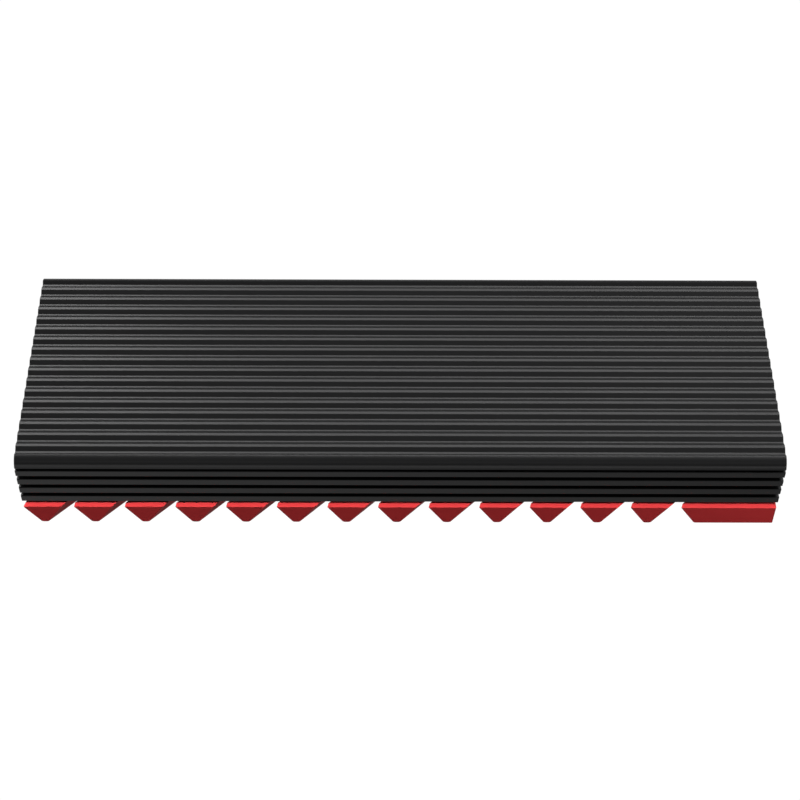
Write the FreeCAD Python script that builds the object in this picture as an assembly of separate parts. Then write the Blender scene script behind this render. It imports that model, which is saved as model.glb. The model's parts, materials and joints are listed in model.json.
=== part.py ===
"""Portable solid state drive in an aluminium case.

A ribbed black extrusion forms the top and the long sides.  A red base plate with diagonal
ridges slides into it lengthways and carries the bridge board, the memory module and their
fixings.  Two end plates lock the base in place.

Millimetres.  +Z is up, X runs along the drive, the connector end is at -X, and the origin is
on the resting plane under the middle of the drive.
"""
import FreeCAD, Part
import math
import os

V = FreeCAD.Vector

# ---- overall sizes -------------------------------------------------------------------------
LENGTH = 104.0              # extrusion, along X
HEIGHT = 12.70              # resting plane to the rib crests
SHELL_BOTTOM = 4.20         # lower edge of the extrusion

# ---- extrusion, cross section --------------------------------------------------------------
SIDE_HALF_WIDTH = 17.54     # outer faces of the side fins
CORNER_RADIUS = 1.90        # rounded long edge
CORNER_HALF_WIDTH = 17.50   # outside of the rounded long edge
RIB_PITCH = 1.923
RIB_GROOVES = 17
RIB_DEPTH = 0.35
RIB_CREST = 0.42
RIB_FLOOR = 0.22
OUTER_FLOOR = 0.31          # floor of the outermost groove on each side
CORNER_CREST = 15.99        # where the outermost groove meets the rounded edge
CORNER_END = 11.32          # lower end of the rounded edge, above the first side groove
RIB_ROUNDING = 0.07
SIDE_GROOVES = 4
SIDE_PITCH = 1.865
FIRST_FIN_TOP = 10.90       # top of the uppermost side fin
SECOND_FIN_TOP = 9.10       # the ones below follow at the pitch
SIDE_GAP = 0.70             # height of each side groove
SIDE_FLOOR_HALF_WIDTH = 16.70
FIN_NOSE = 0.15             # rounding on the upper outer edge of each fin
LIP_ROUNDING = 0.08         # rounding on the lower outer edges
INNER_HALF_WIDTH = 15.95
CEILING = 10.90
BOSS_HALF_WIDTH = 12.60     # inner faces of the two screw bosses under the top
BOSS_BOTTOM = 7.80
TONGUE_REACH = 0.40         # depth of the slots that the base's tongues run in
TONGUE_LOW = 4.45
TONGUE_HIGH = 4.85

# ---- base plate ----------------------------------------------------------------------------
BASE_LENGTH = 103.75
BASE_WIDTH = 35.84
BASE_TOP = 3.84             # top of the part that lies under the extrusion's edge
BASE_CHAMFER = 0.41
BASE_CORNER = 0.15
WEB_TOP = 5.20              # floor that the electronics stand on
RIDGE_PITCH = 6.973         # along X; the ridges run at 45 degrees
GROOVE_STEPS = 8            # grooves on each side of the middle one
GROOVE_SLOPE = 0.442        # sideways run per unit of height, square to the ridge
GROOVE_HALF_ROOT = 0.40
GROOVE_ROOF = 3.95          # height of the grooves, open at the plate's edge
GROOVE_ROUNDING = 0.15
RIDGE_ROUNDING = 0.32
FIT = 0.08                  # gap between neighbouring case parts
BASE_BOSS_RADIUS = 1.6
BASE_BOSS_TOP = 5.80

# ---- end plates ----------------------------------------------------------------------------
END_RECESS = 0.20           # how far each plate sits inside the extrusion's end
END_THICKNESS = 1.60
END_TOP = 11.10
END_SCREW_Y = 14.30
END_SCREW_Z = 9.35
SCREW_RADIUS = 0.78         # M1.6
THREAD_RADIUS = 0.80
CLEARANCE_RADIUS = 0.90
COUNTERSUNK_RADIUS = 1.50
END_SCREW_LENGTH = 5.0

# ---- connector -----------------------------------------------------------------------------
PORT_Z = 6.92
PORT_WIDTH = 8.94
PORT_HEIGHT = 3.20
PORT_WALL = 0.30
PORT_DEPTH = 7.35
PORT_MOUTH_X = -51.72
TONGUE_WIDTH = 6.69
TONGUE_THICKNESS = 0.70
PIPE_Y = 8.60
PIPE_Z = 7.20
PIPE_RADIUS = 0.55

# ---- bridge board --------------------------------------------------------------------------
BOARD_HALF_LENGTH = 49.9
BOARD_HALF_WIDTH = 15.0
BOARD_BOTTOM = BASE_BOSS_TOP
BOARD_TOP = 6.80
BOARD_SCREW_X = 44.0
BOARD_SCREW_Y = 13.3
NOTCH_HALF_WIDTH = 4.62

# ---- memory module, 22 x 80 mm blade form ---------------------------------------------------
MODULE_START = -33.0        # edge that plugs into the socket
MODULE_LENGTH = 80.0
MODULE_WIDTH = 22.0
MODULE_BOTTOM = 7.78
MODULE_THICKNESS = 0.80
EDGE_TAB_WIDTH = 19.85
EDGE_TAB_LENGTH = 4.0
KEY_Y = 6.125
KEY_WIDTH = 1.2
KEY_DEPTH = 3.5
CONTACT_PITCH = 0.5
CONTACT_WIDTH = 0.35
CHIP_HEIGHT = 1.20
MODULE_TOP = MODULE_BOTTOM + MODULE_THICKNESS
MODULE_END = MODULE_START + MODULE_LENGTH


# ---- helpers -------------------------------------------------------------------------------
def box(x_range, y_range, z_range):
    """Block between two limits on each axis."""
    size = [r[1] - r[0] for r in (x_range, y_range, z_range)]
    return Part.makeBox(size[0], size[1], size[2], V(x_range[0], y_range[0], z_range[0]))


def block(centre_x, centre_y, length, width, bottom, height):
    """Block standing on a surface, given by its middle."""
    x_range = (centre_x - length / 2, centre_x + length / 2)
    y_range = (centre_y - width / 2, centre_y + width / 2)
    return box(x_range, y_range, (bottom, bottom + height))


def upright(centre_x, centre_y, radius, bottom, top):
    """Vertical round bar."""
    return Part.makeCylinder(radius, top - bottom, V(centre_x, centre_y, bottom))


def lengthways(y, z, radius, x_low, x_high):
    """Round bar along X."""
    return Part.makeCylinder(radius, x_high - x_low, V(x_low, y, z), V(1, 0, 0))


def rounded_wire(corners, to_point):
    """Closed wire through corners of (u, v, radius), each corner eased by its radius."""
    count = len(corners)
    starts = []
    ends = []
    mids = []
    for i, (u, v, radius) in enumerate(corners):
        here = V(u, v, 0)
        before = V(corners[i - 1][0], corners[i - 1][1], 0) - here
        after = V(corners[(i + 1) % count][0], corners[(i + 1) % count][1], 0) - here
        if radius == 0:
            starts.append(here)
            mids.append(None)
            ends.append(here)
            continue
        before.normalize()
        after.normalize()
        half = before.getAngle(after) / 2
        bisector = (before + after).normalize()
        reach = radius / math.tan(half)
        centre = here + bisector * (radius / math.sin(half))
        starts.append(here + before * reach)
        mids.append(centre - bisector * radius)
        ends.append(here + after * reach)
    edges = []
    for i in range(count):
        if mids[i] is not None:
            arc = Part.Arc(to_point(starts[i]), to_point(mids[i]), to_point(ends[i]))
            edges.append(arc.toShape())
        tail = to_point(ends[i])
        head = to_point(starts[(i + 1) % count])
        if (head - tail).Length > 1e-6:
            edges.append(Part.LineSegment(tail, head).toShape())
    return Part.Wire(edges)


def section(p):
    """Place a point of the cross section (y, z) in space at X = 0."""
    return V(0, p.x, p.y)


def prism_x(corners, x_low, x_high):
    """Cross section swept along X."""
    face = Part.Face(rounded_wire(corners, section))
    face.translate(V(x_low, 0, 0))
    return face.extrude(V(x_high - x_low, 0, 0))


def stadium(width, height, x_low, x_high, centre_z):
    """Bar along X with flat top and bottom and fully rounded sides."""
    half = width / 2
    low = centre_z - height / 2
    high = centre_z + height / 2
    radius = height / 2 - 1e-3
    corners = [(y, z, radius) for y, z in ((-half, low), (half, low), (half, high), (-half, high))]
    return prism_x(corners, x_low, x_high)


def rounded_block(centre_x, centre_y, length, width, bottom, height, radius):
    """Block with its four upright edges rounded."""
    solid = block(centre_x, centre_y, length, width, bottom, height)
    upright_edges = [e for e in solid.Edges if abs(e.tangentAt(e.FirstParameter).z) > 0.99]
    return solid.makeFillet(radius, upright_edges)


def group(solids):
    """Several separate solids kept in one part."""
    return Part.makeCompound(solids)


def signs():
    """The four quadrants, for what repeats at the corners."""
    return [(sx, sy) for sx in (-1, 1) for sy in (-1, 1)]


# ---- extrusion -----------------------------------------------------------------------------
def corner_arc_height(y):
    """Height of the rounded long edge at a distance y from the middle."""
    out = y - (CORNER_HALF_WIDTH - CORNER_RADIUS)
    return HEIGHT - CORNER_RADIUS + math.sqrt(CORNER_RADIUS ** 2 - out ** 2)


def corner_arc_reach(z):
    """Distance of the rounded long edge from the middle at height z."""
    up = z - (HEIGHT - CORNER_RADIUS)
    return CORNER_HALF_WIDTH - CORNER_RADIUS + math.sqrt(CORNER_RADIUS ** 2 - up ** 2)


def side_points():
    """Right-hand side of the section from the lower edge up to the end of the rounded edge."""
    fin_tops = [SECOND_FIN_TOP - i * SIDE_PITCH for i in reversed(range(SIDE_GROOVES - 1))]
    points = [(SIDE_HALF_WIDTH, SHELL_BOTTOM, LIP_ROUNDING)]
    for low in fin_tops:
        high = low + SIDE_GAP
        points.append((SIDE_HALF_WIDTH, low, FIN_NOSE))
        points.append((SIDE_FLOOR_HALF_WIDTH, low, 0))
        points.append((SIDE_FLOOR_HALF_WIDTH, high, 0))
        points.append((SIDE_HALF_WIDTH, high, LIP_ROUNDING))
    points.append((SIDE_HALF_WIDTH, FIRST_FIN_TOP, FIN_NOSE))
    points.append((SIDE_FLOOR_HALF_WIDTH, FIRST_FIN_TOP, 0))
    points.append((SIDE_FLOOR_HALF_WIDTH, CORNER_END, 0))
    points.append((corner_arc_reach(CORNER_END), CORNER_END, 0))
    return points


def rib_points():
    """Grooves across the top from right to left, between the two corner crests."""
    half_mouth = (RIB_PITCH - RIB_CREST) / 2
    floor = HEIGHT - RIB_DEPTH
    last = (RIB_GROOVES - 1) // 2
    points = []
    for i in range(last, -last - 1, -1):
        middle = i * RIB_PITCH
        if i < last:
            points.append((middle + half_mouth, HEIGHT, RIB_ROUNDING))
        half_floor = (OUTER_FLOOR if abs(i) == last else RIB_FLOOR) / 2
        points.append((middle + half_floor, floor, RIB_ROUNDING))
        points.append((middle - half_floor, floor, RIB_ROUNDING))
        if i > -last:
            points.append((middle - half_mouth, HEIGHT, RIB_ROUNDING))
    return points


def inner_points():
    """Inside of the section, from the left lower edge round to the right one."""
    tongue = INNER_HALF_WIDTH + TONGUE_REACH
    right = [
        (INNER_HALF_WIDTH, SHELL_BOTTOM, 0.1),
        (INNER_HALF_WIDTH, TONGUE_LOW, 0),
        (tongue, TONGUE_LOW, 0),
        (tongue, TONGUE_HIGH, 0),
        (INNER_HALF_WIDTH, TONGUE_HIGH, 0),
        (INNER_HALF_WIDTH, BOSS_BOTTOM, 0.3),
        (BOSS_HALF_WIDTH, BOSS_BOTTOM, 0.4),
        (BOSS_HALF_WIDTH, CEILING, 0.3),
    ]
    left = [(-y, z, r) for y, z, r in right]
    return left + right[::-1]


def mirrored(points):
    return [(-y, z, r) for y, z, r in reversed(points)]


def shell_face():
    """Cross section of the extrusion, with true arcs on the two long edges."""
    side = side_points()
    crest_z = corner_arc_height(CORNER_CREST)
    corners = side + [(CORNER_CREST, crest_z, 0)] + rib_points() + [(-CORNER_CREST, crest_z, 0)]
    corners = corners + mirrored(side) + inner_points()
    plain = Part.Face(rounded_wire(corners, section))
    edges = []
    for sign in (1, -1):
        lip_y, lip_z = side[-1][0], side[-1][1]
        middle_y = (lip_y + CORNER_CREST) / 2
        middle = V(0, sign * middle_y, corner_arc_height(middle_y))
        lip = V(0, sign * lip_y, lip_z)
        crest = V(0, sign * CORNER_CREST, crest_z)
        edges.append(Part.Wire([Part.Arc(lip, middle, crest).toShape(), Part.makeLine(crest, lip)]))
    return plain, [Part.Face(w) for w in edges]


def top_shell():
    plain, corner_fills = shell_face()
    sweep = V(LENGTH, 0, 0)
    shell = plain.extrude(sweep)
    for fill in corner_fills:
        shell = shell.fuse(fill.extrude(sweep))
    shell = shell.removeSplitter()
    shell.translate(V(-LENGTH / 2, 0, 0))
    depth = END_RECESS + END_THICKNESS + 0.05
    for sign in (-1, 1):
        outer = sign * (LENGTH / 2 + 1)
        inner = sign * (LENGTH / 2 - depth)
        x_range = (min(outer, inner), max(outer, inner))
        pocket = box(x_range, (-INNER_HALF_WIDTH, INNER_HALF_WIDTH), (SHELL_BOTTOM - 1, END_TOP + FIT))
        shell = shell.cut(pocket)
    for sx, sy in signs():
        start = sx * (LENGTH / 2 - depth) if sx < 0 else LENGTH / 2 - depth - END_SCREW_LENGTH
        hole = lengthways(sy * END_SCREW_Y, END_SCREW_Z, THREAD_RADIUS, start, start + END_SCREW_LENGTH)
        shell = shell.cut(hole)
    return shell


# ---- base plate ----------------------------------------------------------------------------
def ridge_prism():
    """Everything above a line of ridges, running at 45 degrees across the drive."""
    pitch = RIDGE_PITCH / math.sqrt(2)
    half_mouth = GROOVE_HALF_ROOT + GROOVE_SLOPE * GROOVE_ROOF
    reach = 60.0
    corners = [(-reach, WEB_TOP + 1, 0), (-reach, 0, 0)]
    for i in range(-GROOVE_STEPS, GROOVE_STEPS + 1):
        middle = i * pitch
        corners.append((middle - half_mouth, 0, RIDGE_ROUNDING))
        corners.append((middle - GROOVE_HALF_ROOT, GROOVE_ROOF, GROOVE_ROUNDING))
        corners.append((middle + GROOVE_HALF_ROOT, GROOVE_ROOF, GROOVE_ROUNDING))
        corners.append((middle + half_mouth, 0, RIDGE_ROUNDING))
    corners.append((reach, 0, 0))
    corners.append((reach, WEB_TOP + 1, 0))
    prism = prism_x(corners, -reach, reach)
    prism.rotate(V(0, 0, 0), V(0, 0, 1), 45 + 180)
    return prism


def chamfered_bar(width):
    """Long bar along X with the base's chamfer on both upper edges."""
    half = width / 2
    shoulder = BASE_TOP - BASE_CHAMFER
    right = [(half, -1, 0), (half, shoulder, 0), (half - BASE_CHAMFER, BASE_TOP, 0)]
    return prism_x(right + [(-y, z, r) for y, z, r in reversed(right)], -LENGTH, LENGTH)


def base_plate():
    slab = rounded_block(0, 0, BASE_LENGTH, BASE_WIDTH, 0, BASE_TOP, BASE_CORNER)
    slab = slab.common(chamfered_bar(BASE_WIDTH))
    ends = chamfered_bar(BASE_LENGTH)
    ends.rotate(V(0, 0, 0), V(0, 0, 1), 90)
    slab = slab.common(ends)
    web_half = LENGTH / 2 - END_RECESS - END_THICKNESS - FIT
    web_side = INNER_HALF_WIDTH - FIT
    body = slab.fuse(box((-web_half, web_half), (-web_side, web_side), (1.0, WEB_TOP)))
    tongue_side = web_side + TONGUE_REACH
    tongue_z = (TONGUE_LOW + 0.05, TONGUE_HIGH - 0.05)
    plate = body.common(ridge_prism())
    plate = plate.fuse(box((-web_half, web_half), (-tongue_side, tongue_side), tongue_z))
    for sx, sy in signs():
        x, y = sx * BOARD_SCREW_X, sy * BOARD_SCREW_Y
        plate = plate.fuse(upright(x, y, BASE_BOSS_RADIUS, WEB_TOP - 0.5, BASE_BOSS_TOP))
    for sx, sy in signs():
        x, y = sx * BOARD_SCREW_X, sy * BOARD_SCREW_Y
        plate = plate.cut(upright(x, y, THREAD_RADIUS, 4.3, BASE_BOSS_TOP + 1))
    return plate.removeSplitter()


# ---- end plates ----------------------------------------------------------------------------
def blank_end_plate(sign):
    """End plate with its two countersunk holes; sign is the end of the drive, -1 or 1."""
    half = INNER_HALF_WIDTH - FIT
    low = BASE_TOP + FIT
    outer = sign * (LENGTH / 2 - END_RECESS)
    inner = outer - sign * END_THICKNESS
    ends = (min(outer, inner), max(outer, inner))
    corners = [(-half, low, 0.3), (half, low, 0.3), (half, END_TOP, 0.0), (-half, END_TOP, 0.0)]
    plate = prism_x(corners, ends[0], ends[1])
    sink_depth = COUNTERSUNK_RADIUS + 0.05 - CLEARANCE_RADIUS
    for sy in (-1, 1):
        y = sy * END_SCREW_Y
        plate = plate.cut(lengthways(y, END_SCREW_Z, CLEARANCE_RADIUS, ends[0] - 1, ends[1] + 1))
        top = V(outer, y, END_SCREW_Z)
        sink = Part.makeCone(COUNTERSUNK_RADIUS + 0.05, CLEARANCE_RADIUS, sink_depth, top, V(-sign, 0, 0))
        plate = plate.cut(sink)
    return plate


def port_end_plate():
    plate = blank_end_plate(-1)
    slot = stadium(PORT_WIDTH + 2 * FIT, PORT_HEIGHT + 2 * FIT, -LENGTH / 2 - 1, -LENGTH / 2 + 4, PORT_Z)
    plate = plate.cut(slot)
    return plate.cut(lengthways(PIPE_Y, PIPE_Z, PIPE_RADIUS + 0.05, -LENGTH / 2 - 1, -LENGTH / 2 + 4))


def rear_end_plate():
    return blank_end_plate(1)


def hex_socket(centre, direction, across_flats, depth):
    """Six-sided key recess starting at a point and going along a direction."""
    radius = across_flats / math.sqrt(3)
    points = []
    for i in range(7):
        angle = math.radians(60 * i)
        points.append(V(radius * math.cos(angle), radius * math.sin(angle), 0))
    recess = Part.Face(Part.makePolygon(points)).extrude(V(0, 0, depth))
    turn = FreeCAD.Rotation(V(0, 0, 1), direction)
    recess.Placement = FreeCAD.Placement(centre, turn)
    return recess


def end_plate_screws():
    """Four M1.6 countersunk screws, two at each end."""
    screws = []
    head_depth = COUNTERSUNK_RADIUS - SCREW_RADIUS
    for sx, sy in signs():
        inward = V(-sx, 0, 0)
        top = V(sx * (LENGTH / 2 - END_RECESS - 0.04), sy * END_SCREW_Y, END_SCREW_Z)
        head = Part.makeCone(COUNTERSUNK_RADIUS, SCREW_RADIUS, head_depth, top, inward)
        shank = Part.makeCylinder(SCREW_RADIUS, END_SCREW_LENGTH + 0.8, top + inward * 0.5, inward)
        screw = head.fuse(shank).cut(hex_socket(top - inward * 0.1, inward, 0.9, 0.75))
        screws.append(screw.removeSplitter())
    return group(screws)


# ---- connector -----------------------------------------------------------------------------
def usb_c_shell():
    rear = PORT_MOUTH_X + PORT_DEPTH
    shell = stadium(PORT_WIDTH, PORT_HEIGHT, PORT_MOUTH_X, rear, PORT_Z)
    inner_width = PORT_WIDTH - 2 * PORT_WALL
    inner_height = PORT_HEIGHT - 2 * PORT_WALL
    shell = shell.cut(stadium(inner_width, inner_height, PORT_MOUTH_X - 1, rear - PORT_WALL, PORT_Z))
    for sy in (-1, 1):
        for x in (-48.6, -45.6):
            shell = shell.fuse(block(x, sy * 5.0, 1.1, 1.7, BOARD_TOP, 0.25))
    return shell.removeSplitter()


def usb_c_tongue():
    """Insulating tongue in the middle of the receptacle, on its rear block."""
    rear = PORT_MOUTH_X + PORT_DEPTH - PORT_WALL
    inner_width = PORT_WIDTH - 2 * PORT_WALL - FIT
    inner_height = PORT_HEIGHT - 2 * PORT_WALL - FIT
    foot = stadium(inner_width, inner_height, rear - 1.2, rear - 0.01, PORT_Z)
    low = PORT_Z - TONGUE_THICKNESS / 2
    high = PORT_Z + TONGUE_THICKNESS / 2
    half = TONGUE_WIDTH / 2
    blade = box((PORT_MOUTH_X + 1.0, rear - 1.0), (-half, half), (low, high))
    return foot.fuse(blade).removeSplitter()


def usb_c_contacts():
    """Twelve contacts on each face of the tongue."""
    strips = []
    start = PORT_MOUTH_X + 1.3
    end = PORT_MOUTH_X + PORT_DEPTH - PORT_WALL - 1.25
    for i in range(12):
        y = (i - 5.5) * CONTACT_PITCH
        for bottom in (PORT_Z + TONGUE_THICKNESS / 2, PORT_Z - TONGUE_THICKNESS / 2 - 0.06):
            strips.append(box((start, end), (y - 0.125, y + 0.125), (bottom, bottom + 0.06)))
    return group(strips)


def light_pipe():
    """Clear rod that carries the status light to the end plate, with a collar behind the plate."""
    outer = -LENGTH / 2 + END_RECESS
    inner = outer + END_THICKNESS
    rod = lengthways(PIPE_Y, PIPE_Z, PIPE_RADIUS, outer, inner + 0.25)
    collar = lengthways(PIPE_Y, PIPE_Z, PIPE_RADIUS + 0.25, inner + 0.03, inner + 0.23)
    return rod.fuse(collar).removeSplitter()


def status_led():
    """Side-looking lamp at the edge of the board."""
    return block(-49.25, PIPE_Y, 0.8, 1.6, BOARD_TOP, 0.7)


# ---- bridge board --------------------------------------------------------------------------
def bridge_board():
    z_range = (BOARD_BOTTOM, BOARD_TOP)
    board = rounded_block(0, 0, 2 * BOARD_HALF_LENGTH, 2 * BOARD_HALF_WIDTH, z_range[0], 1.0, 0.8)
    notch_end = PORT_MOUTH_X + PORT_DEPTH + 0.1
    board = board.cut(box((-60, notch_end), (-NOTCH_HALF_WIDTH, NOTCH_HALF_WIDTH), (5, 8)))
    for sx, sy in signs():
        hole = upright(sx * BOARD_SCREW_X, sy * BOARD_SCREW_Y, CLEARANCE_RADIUS, 5, 8)
        board = board.cut(hole)
    return board.cut(upright(MODULE_END, 0, 1.3, 5, 8))


def board_screws():
    """Four M1.6 screws that hold the board down on the base's bosses."""
    screws = []
    for sx, sy in signs():
        x, y = sx * BOARD_SCREW_X, sy * BOARD_SCREW_Y
        head = upright(x, y, 1.35, BOARD_TOP, BOARD_TOP + 0.6)
        rim = [e for e in head.Edges if e.BoundBox.ZMin > BOARD_TOP + 0.5]
        head = head.makeFillet(0.25, rim)
        screw = head.fuse(upright(x, y, SCREW_RADIUS, 4.4, BOARD_TOP + 0.1))
        screws.append(screw.cut(hex_socket(V(x, y, BOARD_TOP + 0.7), V(0, 0, -1), 0.9, 0.45)))
    return group(screws)


def bridge_controller():
    return chip(-40.6, 0, 6.0, 6.0, BOARD_TOP, 0.85)


def chip(x, y, length, width, bottom, height):
    """Moulded package with an eased top rim and a round pin-one dimple."""
    package = block(x, y, length, width, bottom, height)
    rim = [e for e in package.Edges if e.BoundBox.ZMin > bottom + height - 1e-3]
    package = package.makeChamfer(0.08, rim)
    top = bottom + height
    dimple = upright(x - length / 2 + 0.7, y - width / 2 + 0.7, 0.3, top - 0.05, top + 1)
    return package.cut(dimple)


def boot_flash():
    return chip(-40.2, -8.4, 4.9, 3.9, BOARD_TOP + 0.1, 1.45)


def boot_flash_leads():
    """Eight gull-wing leads."""
    leads = []
    for sy in (-1, 1):
        for i in range(4):
            x = -40.2 + (i - 1.5) * 1.27
            y = -8.4 + sy * 1.95
            level = BOARD_TOP + 0.8
            shoulder = box((x - 0.2, x + 0.2), sorted((y, y + sy * 0.45)), (level, level + 0.2))
            leg = box((x - 0.2, x + 0.2), sorted((y + sy * 0.25, y + sy * 0.45)), (BOARD_TOP, level + 0.1))
            foot = box((x - 0.2, x + 0.2), sorted((y + sy * 0.3, y + sy * 1.0)), (BOARD_TOP, BOARD_TOP + 0.2))
            leads.append(shoulder.fuse(leg).fuse(foot).removeSplitter())
    return group(leads)


def crystal():
    return rounded_block(-40.6, 6.0, 3.2, 2.5, BOARD_TOP, 0.8, 0.35)


def power_inductors():
    """Two moulded coils beside the controller."""
    return group([rounded_block(x, 9.6, 3.0, 3.0, BOARD_TOP, 1.5, 0.4) for x in (-42.6, -38.6)])


def chip_row(centres, length, width, bottom, height):
    """Small two-ended components of one size."""
    return [block(x, y, length, width, bottom, height) for x, y in centres]


def board_capacitors():
    near_port = [(-47.6 + 1.7 * i, -10.9) for i in range(2)]
    near_flash = [(-42.4 + 1.5 * i, -4.2) for i in range(4)]
    near_coils = [(-43.6 + 1.5 * i, 12.0) for i in (1, 2, 3, 4)]
    return group(chip_row(near_port + near_flash + near_coils, 0.8, 1.4, BOARD_TOP, 0.7))


def board_resistors():
    row = [(-47.9 + 1.2 * i, -7.4) for i in range(4)] + [(-47.9 + 1.2 * i, 11.9) for i in range(2)]
    return group(chip_row(row, 0.5, 1.0, BOARD_TOP, 0.35))


# ---- module socket and fixing --------------------------------------------------------------
def edge_slots(count):
    """Contact positions across the edge, leaving out those at the key."""
    places = [(i - (count - 1) / 2) * CONTACT_PITCH for i in range(count)]
    return [y for y in places if abs(y - KEY_Y) > KEY_WIDTH / 2 + 0.35]


def m2_socket():
    """Low edge socket that the module plugs into, open towards +X."""
    front = MODULE_START + EDGE_TAB_LENGTH - 0.3
    back = MODULE_START - 2.6
    top = MODULE_TOP + 0.55
    body = box((back, front), (-EDGE_TAB_WIDTH / 2 - 1.0, EDGE_TAB_WIDTH / 2 + 1.0), (BOARD_TOP, top))
    slot_half = EDGE_TAB_WIDTH / 2 + 0.08
    slot_z = (MODULE_BOTTOM - 0.16, MODULE_TOP + 0.16)
    body = body.cut(box((MODULE_START - 0.05, front + 1), (-slot_half, slot_half), slot_z))
    rib_half = KEY_WIDTH / 2 - 0.15
    rib = box((MODULE_START - 0.5, front - 0.6), (KEY_Y - rib_half, KEY_Y + rib_half), slot_z)
    return body.fuse(rib).removeSplitter()


def m2_socket_contacts():
    """Spring contact tails above and below the module's edge."""
    tips = []
    x_range = (MODULE_START + 0.6, MODULE_START + 2.8)
    rows = ((38, (MODULE_TOP + 0.06, MODULE_TOP + 0.15)), (37, (MODULE_BOTTOM - 0.15, MODULE_BOTTOM - 0.06)))
    for count, z_range in rows:
        for y in edge_slots(count):
            tips.append(box(x_range, (y - 0.1, y + 0.1), z_range))
    return group(tips)


def m2_standoff():
    """Threaded post that the far end of the module rests on."""
    post = upright(MODULE_END, 0, 2.2, BOARD_TOP, MODULE_BOTTOM)
    stem = upright(MODULE_END, 0, 1.25, BOARD_BOTTOM + 0.1, BOARD_TOP + 0.1)
    thread = upright(MODULE_END, 0, 1.0, BOARD_BOTTOM, MODULE_BOTTOM + 1)
    return post.fuse(stem).cut(thread).removeSplitter()


def m2_retaining_screw():
    """M2 wafer-head screw with a cross recess."""
    head = upright(MODULE_END, 0, 2.3, MODULE_TOP, MODULE_TOP + 0.8)
    rim = [e for e in head.Edges if e.BoundBox.ZMin > MODULE_TOP + 0.7]
    head = head.makeFillet(0.3, rim)
    step = upright(MODULE_END, 0, 1.6, MODULE_BOTTOM, MODULE_TOP + 0.1)
    shank = upright(MODULE_END, 0, 0.97, BOARD_BOTTOM + 0.3, MODULE_BOTTOM + 0.1)
    screw = head.fuse(step).fuse(shank)
    for length, width in ((2.2, 0.45), (0.45, 2.2)):
        screw = screw.cut(block(MODULE_END, 0, length, width, MODULE_TOP + 0.3, 1.0))
    return screw.removeSplitter()


# ---- memory module -------------------------------------------------------------------------
def ssd_board():
    """Module board with its stepped edge, key slot and half-round fixing notch."""
    z_range = (MODULE_BOTTOM, MODULE_TOP)
    half = MODULE_WIDTH / 2
    tab_half = EDGE_TAB_WIDTH / 2
    board = box((MODULE_START + EDGE_TAB_LENGTH, MODULE_END), (-half, half), z_range)
    tab_end = MODULE_START + EDGE_TAB_LENGTH + 1
    board = board.fuse(box((MODULE_START, tab_end), (-tab_half, tab_half), z_range))
    board = board.removeSplitter()
    key_end = MODULE_START + KEY_DEPTH - KEY_WIDTH / 2
    key = box((MODULE_START - 1, key_end), (KEY_Y - KEY_WIDTH / 2, KEY_Y + KEY_WIDTH / 2), (7, 9))
    board = board.cut(key.fuse(upright(key_end, KEY_Y, KEY_WIDTH / 2, 7, 9)))
    return board.cut(upright(MODULE_END, 0, 1.75, 7, 9))


def ssd_edge_contacts():
    """Gold fingers on both faces of the module's edge."""
    fingers = []
    x_range = (MODULE_START + 0.4, MODULE_START + 2.9)
    for count, bottom in ((38, MODULE_TOP), (37, MODULE_BOTTOM - 0.03)):
        for y in edge_slots(count):
            y_range = (y - CONTACT_WIDTH / 2, y + CONTACT_WIDTH / 2)
            fingers.append(box(x_range, y_range, (bottom, bottom + 0.03)))
    return group(fingers)


def ssd_controller():
    return chip(MODULE_START + 17.5, 0, 12.0, 12.0, MODULE_TOP, CHIP_HEIGHT)


def dram_chip():
    return chip(MODULE_START + 30.0, 0, 7.5, 11.0, MODULE_TOP, CHIP_HEIGHT)


def nand_package_near():
    return chip(MODULE_START + 44.5, 0, 14.0, 18.0, MODULE_TOP, CHIP_HEIGHT)


def nand_package_far():
    return chip(MODULE_START + 62.5, 0, 14.0, 18.0, MODULE_TOP, CHIP_HEIGHT)


def power_management_chip():
    return chip(MODULE_START + 8.2, -6.0, 3.5, 3.5, MODULE_TOP, 0.8)


def ssd_capacitors():
    near_edge = [(MODULE_START + 7.4, -1.5 + 1.5 * i) for i in range(7)]
    beside_controller = [(MODULE_START + 13.0 + 1.8 * i, sy * 8.6) for i in range(5) for sy in (-1, 1)]
    at_end = [(MODULE_START + 73.2, -7.5 + 1.6 * i) for i in range(3)]
    at_end = at_end + [(x, -y) for x, y in at_end]
    return group(chip_row(near_edge + beside_controller + at_end, 0.8, 0.9, MODULE_TOP, 0.6))


def upper_thermal_pad():
    """Soft pad between the module's packages and the underside of the extrusion's top."""
    bottom = MODULE_TOP + CHIP_HEIGHT
    return rounded_block(MODULE_START + 40.5, 0, 60.0, 20.0, bottom, CEILING - bottom, 1.0)


def lower_thermal_pad():
    """Soft pad between the bridge board and the base plate."""
    return rounded_block(3.0, 0, 70.0, 20.0, WEB_TOP, BOARD_BOTTOM - WEB_TOP, 1.0)


PARTS = [
    top_shell, base_plate, port_end_plate, rear_end_plate, end_plate_screws,
    usb_c_shell, usb_c_tongue, usb_c_contacts, light_pipe, status_led,
    bridge_board, board_screws, bridge_controller, boot_flash, boot_flash_leads, crystal,
    power_inductors, board_capacitors, board_resistors,
    m2_socket, m2_socket_contacts, m2_standoff, m2_retaining_screw,
    ssd_board, ssd_edge_contacts, ssd_controller, dram_chip, nand_package_near, nand_package_far,
    power_management_chip, ssd_capacitors, upper_thermal_pad, lower_thermal_pad,
]


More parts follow.
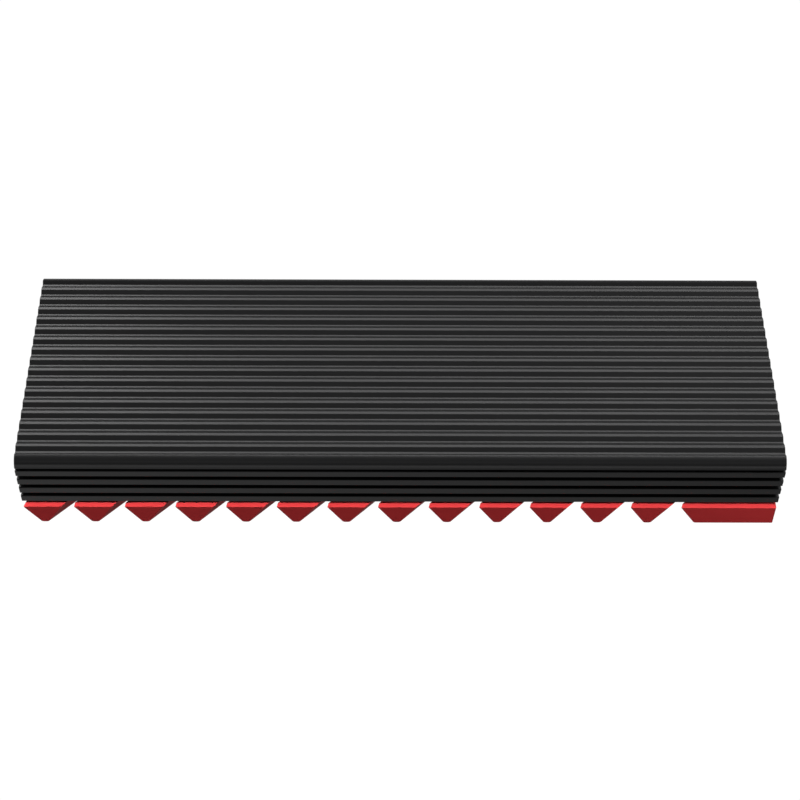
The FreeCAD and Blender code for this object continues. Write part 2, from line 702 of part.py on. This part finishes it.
def main():
    os.makedirs("parts", exist_ok=True)
    for build in PARTS:
        shape = build()
        solids = len(shape.Solids)
        low = shape.BoundBox
        print(f"{build.__name__:24s} solids {solids:3d} valid {shape.isValid()} volume {shape.Volume:9.2f}"
              f"  x {low.XMin:7.2f} {low.XMax:7.2f}  y {low.YMin:7.2f} {low.YMax:7.2f}"
              f"  z {low.ZMin:6.2f} {low.ZMax:6.2f}")
        shape.exportStep(f"parts/{build.__name__}.step")


main()
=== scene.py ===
"""Studio picture of the portable solid state drive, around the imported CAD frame.

Metres, in the frame of the CAD model: +Z up, X along the drive, and the photographed long side
faces -Y.  Every CAD node keeps its mesh and gets a procedural material.
"""
import bpy
import json
import math
from mathutils import Matrix, Vector


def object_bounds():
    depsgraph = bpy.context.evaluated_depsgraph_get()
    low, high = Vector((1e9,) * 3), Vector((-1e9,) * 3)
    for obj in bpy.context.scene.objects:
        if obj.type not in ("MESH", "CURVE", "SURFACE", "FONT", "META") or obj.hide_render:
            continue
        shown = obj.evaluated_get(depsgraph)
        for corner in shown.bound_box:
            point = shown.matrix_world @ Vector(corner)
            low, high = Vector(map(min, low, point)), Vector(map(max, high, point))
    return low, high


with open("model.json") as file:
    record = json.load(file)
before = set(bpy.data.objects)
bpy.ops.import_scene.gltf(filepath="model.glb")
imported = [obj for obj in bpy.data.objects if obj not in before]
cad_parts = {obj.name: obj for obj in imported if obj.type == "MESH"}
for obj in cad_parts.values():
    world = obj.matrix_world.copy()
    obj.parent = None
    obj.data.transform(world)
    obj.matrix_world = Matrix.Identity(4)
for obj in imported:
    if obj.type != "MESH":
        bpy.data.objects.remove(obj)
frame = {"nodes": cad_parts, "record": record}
CAD_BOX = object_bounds()
NODES = frame["nodes"]

MM = 0.001

# ---- camera --------------------------------------------------------------------------------
ELEVATION = math.radians(50.3)      # above the horizon
TURN = math.radians(-0.511)         # about the vertical, from looking straight along +Y
ROLL = math.radians(0.533)
AIM = (-0.085 * MM, -6.39 * MM)     # point of the crest plane in the middle of the picture
DISTANCE = 256.35 * MM              # camera to that point
LENS = 83.65                        # on a 36 mm sensor

# ---- studio --------------------------------------------------------------------------------
WHITE = 1.02                        # what the camera sees of the floor and the surroundings
FLOOR_SIZE = 6.0
FLOOR_GAP = 0.02 * MM               # between the floor and the drive
FLOOR_RAMP = 60 * MM                # the floor's glow falls from left to right over this reach
FLOOR_LEFT = 0.43
FLOOR_RIGHT = 0.24

# Lamps: angle over the drive in degrees, reach to the right, depth and width in metres, and
# radiance.  The angle runs from 0, level with the drive behind it, to 180 in front.
LAMPS = {
    "back_left": (50, -0.45, 0.24, 0.50, 4.8),
    "back_middle": (50, 0.0, 0.24, 0.40, 2.1),
    "back_right": (50, 0.45, 0.24, 0.50, 2.25),
    "overhead": (80, 0.0, 0.16, 0.60, 5.2),
    "overhead_right": (78, 0.65, 0.26, 0.50, 20.0),
    "front_high": (138, 0.0, 0.30, 1.20, 0.13),
    "front_low": (172, 0.0, 0.30, 1.20, 0.66),
    "left_side": (50, -1.8, 0.50, 0.60, 2.0),
    "right_side": (50, 1.8, 0.50, 0.60, 2.0),
}
LAMP_DISTANCE = 1.0

# Lamps for the red base alone, with their distance after the radiance.  In the photograph its
# chamfer is far brighter than its front faces, and the black part shows no such lamp.
BASE_LAMPS = {
    "red_key": (90.3, -0.33, 0.036, 0.20, 565.0, 0.4),
    "red_fill": (170, 1.5, 0.05, 0.05, 3.5, 0.10),
}


# ---- node helpers --------------------------------------------------------------------------
class Surface:
    """A material under construction: one Principled shader and the nodes that feed it."""

    def __init__(self, name, colour, roughness, metallic=0.0, **sockets):
        self.material = bpy.data.materials.new(name)
        self.material.use_nodes = True
        self.tree = self.material.node_tree
        self.shader = self.tree.nodes["Principled BSDF"]
        self.place = None
        self.set("Base Color", colour)
        self.set("Roughness", roughness)
        self.set("Metallic", metallic)
        for socket, value in sockets.items():
            self.set(socket.replace("_", " "), value)

    def set(self, socket, value):
        """Fixed value or link on one of the shader's sockets."""
        target = self.shader.inputs[socket]
        if isinstance(value, bpy.types.NodeSocket):
            self.tree.links.new(value, target)
        elif isinstance(value, tuple) and len(value) == 3:
            target.default_value = (*value, 1.0)
        else:
            target.default_value = value

    def node(self, kind, **inputs):
        """New node; inputs are given by name, or by position as i0, i1 and so on."""
        new = self.tree.nodes.new(kind)
        for name, value in inputs.items():
            key = int(name[1:]) if name[0] == "i" and name[1:].isdigit() else name.replace("_", " ")
            socket = new.inputs[key]
            if isinstance(value, bpy.types.NodeSocket):
                self.tree.links.new(value, socket)
            elif isinstance(value, tuple) and len(value) == 3 and len(socket.default_value) == 4:
                socket.default_value = (*value, 1.0)
            else:
                socket.default_value = value
        return new

    def noise(self, size, detail=2.0):
        """Noise whose features are size metres across, one number or one for each axis."""
        if self.place is None:
            self.place = self.tree.nodes.new("ShaderNodeTexCoord").outputs["Object"]
        sizes = size if isinstance(size, tuple) else (size, size, size)
        scale = tuple(1.0 / s for s in sizes)
        mapping = self.node("ShaderNodeMapping", Vector=self.place, Scale=scale)
        texture = self.node("ShaderNodeTexNoise", Vector=mapping.outputs["Vector"], Scale=1.0,
                            Detail=detail, Roughness=0.5)
        return texture.outputs["Fac"]

    def spread(self, value, low, high, out_low, out_high):
        """value mapped from low..high to out_low..out_high, clamped."""
        node = self.node("ShaderNodeMapRange", i0=value, i1=low, i2=high, i3=out_low, i4=out_high)
        return node.outputs["Result"]

    def blend(self, factor, first, second):
        """Colour between first and second."""
        node = self.tree.nodes.new("ShaderNodeMix")
        node.data_type = "RGBA"
        for index, value in ((0, factor), (6, first), (7, second)):
            socket = node.inputs[index]
            if isinstance(value, bpy.types.NodeSocket):
                self.tree.links.new(value, socket)
            else:
                socket.default_value = (*value, 1.0) if index else value
        return node.outputs[2]

    def sum(self, first, second, weight):
        """first + second * weight."""
        node = self.node("ShaderNodeMath", i0=second, i1=weight, i2=first)
        node.operation = "MULTIPLY_ADD"
        return node.outputs[0]

    def bump(self, height, distance):
        """Relief: height from 0 to 1 stands for 0 to distance in metres."""
        node = self.node("ShaderNodeBump", Strength=1.0, Distance=distance, Height=height)
        self.set("Normal", node.outputs["Normal"])


# ---- materials -----------------------------------------------------------------------------
def black_anodised():
    """Bead-blasted extrusion, dyed black: fine grain, faint drawing lines along X."""
    s = Surface("black_anodised", (0.017, 0.017, 0.0174), 0.23, Specular_IOR_Level=0.5)
    cloud = s.noise(9 * MM, 3.0)
    drawn = s.noise((60 * MM, 0.12 * MM, 0.12 * MM))
    grain = s.noise(0.07 * MM, 1.0)
    s.set("Base Color", s.blend(cloud, (0.0164, 0.0164, 0.0168), (0.0176, 0.0176, 0.0180)))
    s.set("Roughness", s.spread(s.sum(cloud, drawn, 0.5), 0.4, 1.1, 0.22, 0.24))
    s.bump(s.sum(grain, drawn, 0.3), 0.0002 * MM)
    return s.material


def red_anodised():
    """Machined plate, dyed red: a fine matte grain."""
    s = Surface("red_anodised", (0.27, 0.0184, 0.0196), 0.50, Specular_IOR_Level=0.015)
    cloud = s.noise(7 * MM, 3.0)
    grain = s.noise(0.08 * MM, 1.0)
    s.set("Base Color", s.blend(cloud, (0.262, 0.0179, 0.0190), (0.278, 0.0189, 0.0202)))
    s.set("Roughness", s.spread(cloud, 0.3, 0.7, 0.47, 0.53))
    s.bump(grain, 0.0006 * MM)
    return s.material


def plain_metal(name, colour, roughness, scratch=0.1 * MM):
    """Bright or blackened metal with fine marks, scratch metres across."""
    s = Surface(name, colour, roughness, 1.0)
    marks = s.noise(scratch)
    darker = tuple(c * 0.82 for c in colour)
    s.set("Base Color", s.blend(s.spread(marks, 0.35, 0.65, 0.0, 1.0), darker, colour))
    s.set("Roughness", s.spread(marks, 0.3, 0.7, roughness * 0.8, roughness * 1.25))
    s.bump(marks, 0.0005 * MM)
    return s.material


def moulded(name, colour, roughness):
    """Moulded, fired or cast material with a fine even grain."""
    s = Surface(name, colour, roughness)
    grain = s.noise(0.08 * MM)
    cloud = s.noise(2.2 * MM)
    darker = tuple(c * 0.86 for c in colour)
    s.set("Base Color", s.blend(cloud, darker, colour))
    s.set("Roughness", s.spread(grain, 0.3, 0.7, roughness * 0.9, min(1.0, roughness * 1.1)))
    s.bump(grain, 0.0012 * MM)
    return s.material


MATERIALS = {
    "black_anodised": black_anodised(),
    "red_anodised": red_anodised(),
    "black_end_plate": moulded("black_end_plate", (0.012, 0.012, 0.0125), 0.40),
    "black_screw": plain_metal("black_screw", (0.05, 0.05, 0.052), 0.36),
    "bright_screw": plain_metal("bright_screw", (0.62, 0.62, 0.60), 0.28),
    "port_steel": plain_metal("port_steel", (0.66, 0.66, 0.65), 0.27,
                              scratch=(2 * MM, 0.05 * MM, 0.05 * MM)),
    "port_plastic": moulded("port_plastic", (0.02, 0.02, 0.02), 0.45),
    "gold_contact": plain_metal("gold_contact", (0.83, 0.61, 0.25), 0.24, scratch=0.06 * MM),
    "clear_plastic": moulded("clear_plastic", (0.72, 0.75, 0.76), 0.38),
    "lamp_body": moulded("lamp_body", (0.85, 0.84, 0.78), 0.35),
    "black_board": moulded("black_board", (0.015, 0.02, 0.018), 0.30),
    "green_board": moulded("green_board", (0.01, 0.10, 0.04), 0.30),
    "chip_black": moulded("chip_black", (0.03, 0.03, 0.032), 0.55),
    "tinned_lead": plain_metal("tinned_lead", (0.70, 0.70, 0.69), 0.30),
    "coil_grey": moulded("coil_grey", (0.13, 0.13, 0.14), 0.6),
    "ceramic_tan": moulded("ceramic_tan", (0.42, 0.30, 0.19), 0.5),
    "resistor_black": moulded("resistor_black", (0.03, 0.03, 0.035), 0.4),
    "socket_plastic": moulded("socket_plastic", (0.025, 0.025, 0.025), 0.5),
    "brass_standoff": plain_metal("brass_standoff", (0.72, 0.53, 0.24), 0.30),
    "thermal_pad": moulded("thermal_pad", (0.33, 0.42, 0.52), 0.8),
}


def dress_nodes():
    """Give every CAD node the material of its slot in the record."""
    for part in frame["record"]["subparts"]:
        obj = NODES[part["node"]]
        obj.data.materials.clear()
        obj.data.materials.append(MATERIALS[part["material_slot"]])


# ---- floor, surroundings, lamps and camera -------------------------------------------------
def make_floor():
    """Plain pale floor: white to the camera, a soft glow as light, and clear from below."""
    mesh = bpy.data.meshes.new("floor")
    half = FLOOR_SIZE / 2
    corners = [(-half, -half, -FLOOR_GAP), (half, -half, -FLOOR_GAP),
               (half, half, -FLOOR_GAP), (-half, half, -FLOOR_GAP)]
    mesh.from_pydata(corners, [], [(0, 1, 2, 3)])
    floor = bpy.data.objects.new("floor", mesh)
    bpy.context.scene.collection.objects.link(floor)
    material = bpy.data.materials.new("studio_floor")
    material.use_nodes = True
    tree = material.node_tree
    tree.nodes.remove(tree.nodes["Principled BSDF"])
    place = tree.nodes.new("ShaderNodeTexCoord")
    split = tree.nodes.new("ShaderNodeSeparateXYZ")
    tree.links.new(place.outputs["Object"], split.inputs[0])
    level = tree.nodes.new("ShaderNodeMapRange")
    tree.links.new(split.outputs["X"], level.inputs[0])
    for index, value in enumerate((-FLOOR_RAMP, FLOOR_RAMP, FLOOR_LEFT, FLOOR_RIGHT), start=1):
        level.inputs[index].default_value = value
    soft = tree.nodes.new("ShaderNodeEmission")
    tree.links.new(level.outputs["Result"], soft.inputs["Strength"])
    white = tree.nodes.new("ShaderNodeEmission")
    white.inputs["Strength"].default_value = WHITE
    seen = tree.nodes.new("ShaderNodeLightPath")
    facing = tree.nodes.new("ShaderNodeNewGeometry")
    clear = tree.nodes.new("ShaderNodeBsdfTransparent")
    top = tree.nodes.new("ShaderNodeMixShader")
    tree.links.new(seen.outputs["Is Camera Ray"], top.inputs[0])
    tree.links.new(soft.outputs[0], top.inputs[1])
    tree.links.new(white.outputs[0], top.inputs[2])
    both = tree.nodes.new("ShaderNodeMixShader")
    tree.links.new(facing.outputs["Backfacing"], both.inputs[0])
    tree.links.new(top.outputs[0], both.inputs[1])
    tree.links.new(clear.outputs[0], both.inputs[2])
    tree.links.new(both.outputs[0], tree.nodes["Material Output"].inputs["Surface"])
    mesh.materials.append(material)


def make_world():
    """Surroundings that are white to the camera and give no light."""
    world = bpy.data.worlds.new("studio")
    bpy.context.scene.world = world
    world.use_nodes = True
    tree = world.node_tree
    dark = tree.nodes["Background"]
    dark.inputs["Color"].default_value = (1.0, 1.0, 1.0, 1.0)
    dark.inputs["Strength"].default_value = 0.0
    white = tree.nodes.new("ShaderNodeBackground")
    white.inputs["Color"].default_value = (1.0, 1.0, 1.0, 1.0)
    white.inputs["Strength"].default_value = WHITE
    seen = tree.nodes.new("ShaderNodeLightPath")
    mix = tree.nodes.new("ShaderNodeMixShader")
    tree.links.new(seen.outputs["Is Camera Ray"], mix.inputs[0])
    tree.links.new(dark.outputs[0], mix.inputs[1])
    tree.links.new(white.outputs[0], mix.inputs[2])
    tree.links.new(mix.outputs[0], tree.nodes["World Output"].inputs["Surface"])


def softbox(name, angle, side, depth, width, radiance, distance=LAMP_DISTANCE, only=()):
    """Area lamp that looks at the drive, unseen by the camera.

    A lamp with a list in only lights just those nodes.
    """
    data = bpy.data.lights.new(name, "AREA")
    data.shape = "RECTANGLE"
    data.size = width
    data.size_y = depth
    data.energy = radiance * math.pi * width * depth
    lamp = bpy.data.objects.new(name, data)
    turn = math.radians(angle)
    way = Vector((side, math.cos(turn), math.sin(turn))).normalized()
    lamp.location = way * distance
    lamp.rotation_mode = "QUATERNION"
    lamp.rotation_quaternion = way.to_track_quat("Z", "Y")
    lamp.visible_camera = False
    bpy.context.scene.collection.objects.link(lamp)
    if only:
        lit = bpy.data.collections.new(name + "_lights")
        for node in only:
            lit.objects.link(NODES[node])
        lamp.light_linking.receiver_collection = lit


def make_camera():
    """The photograph's camera, aimed at a point of the crest plane."""
    data = bpy.data.cameras.new("camera")
    data.sensor_width = 36.0
    data.lens = LENS
    data.clip_start = 0.01
    data.clip_end = 20.0
    camera = bpy.data.objects.new("camera", data)
    bpy.context.scene.collection.objects.link(camera)
    forward = Vector((0, math.cos(ELEVATION), -math.sin(ELEVATION)))
    right = Vector((1, 0, 0))
    up = Vector((0, math.sin(ELEVATION), math.cos(ELEVATION)))
    rolled_right = right * math.cos(ROLL) + up * math.sin(ROLL)
    rolled_up = up * math.cos(ROLL) - right * math.sin(ROLL)
    axes = Matrix((rolled_right, rolled_up, -forward)).transposed()
    turn = Matrix.Rotation(TURN, 3, "Z")
    crest = CAD_BOX[1].z
    aim = Vector((AIM[0], AIM[1], crest))
    camera.matrix_world = (turn @ axes).to_4x4()
    camera.location = aim - turn @ forward * DISTANCE
    bpy.context.scene.camera = camera


dress_nodes()
make_floor()
make_world()
for lamp_name, settings in LAMPS.items():
    softbox(lamp_name, *settings)
for lamp_name, settings in BASE_LAMPS.items():
    softbox(lamp_name, *settings, only=("base_plate",))
make_camera()
bpy.context.scene.view_settings.view_transform = "Standard"
